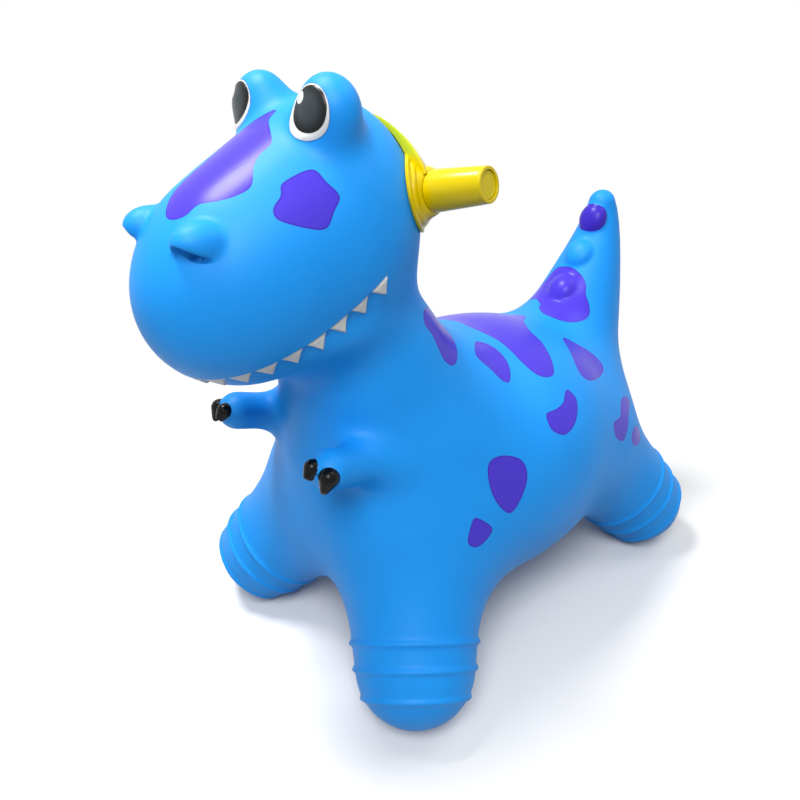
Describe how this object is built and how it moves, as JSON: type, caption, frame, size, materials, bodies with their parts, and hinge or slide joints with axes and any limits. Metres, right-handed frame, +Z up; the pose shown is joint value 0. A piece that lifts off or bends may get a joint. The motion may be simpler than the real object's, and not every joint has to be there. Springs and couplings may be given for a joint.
{
  "type": "animal hopper",
  "caption": "Inflatable bouncy animal shaped as a small dinosaur, with a moulded handle behind its eyes and a pull-out air plug under its tail, for a small child to sit on and hop.",
  "frame": {"origin": "on the floor, below the middle of the object's box", "axes": "+Z up; the animal faces -Y; its left side is +X"},
  "size_m": [0.3372, 0.5817, 0.5337],
  "materials": {
    "skin": "satin moulded soft PVC, blue with purple spots",
    "handle": "glossy moulded yellow plastic",
    "end_plug": "satin moulded yellow plastic",
    "valve": "soft white plastic"
  },
  "bodies": {
    "hopper": {"inflated_body": "skin", "handle_yoke": "handle", "grip_left": "handle", "grip_right": "handle", "grip_end_plug_left": "end_plug", "grip_end_plug_right": "end_plug"},
    "plug": {"air_plug": "valve"}
  },
  "joints": [
    {"name": "air_plug_pull", "type": "slide", "parent": "hopper", "child": "plug", "axis": [0, 1, 0], "range_m": [0, 0.02]}
  ]
}
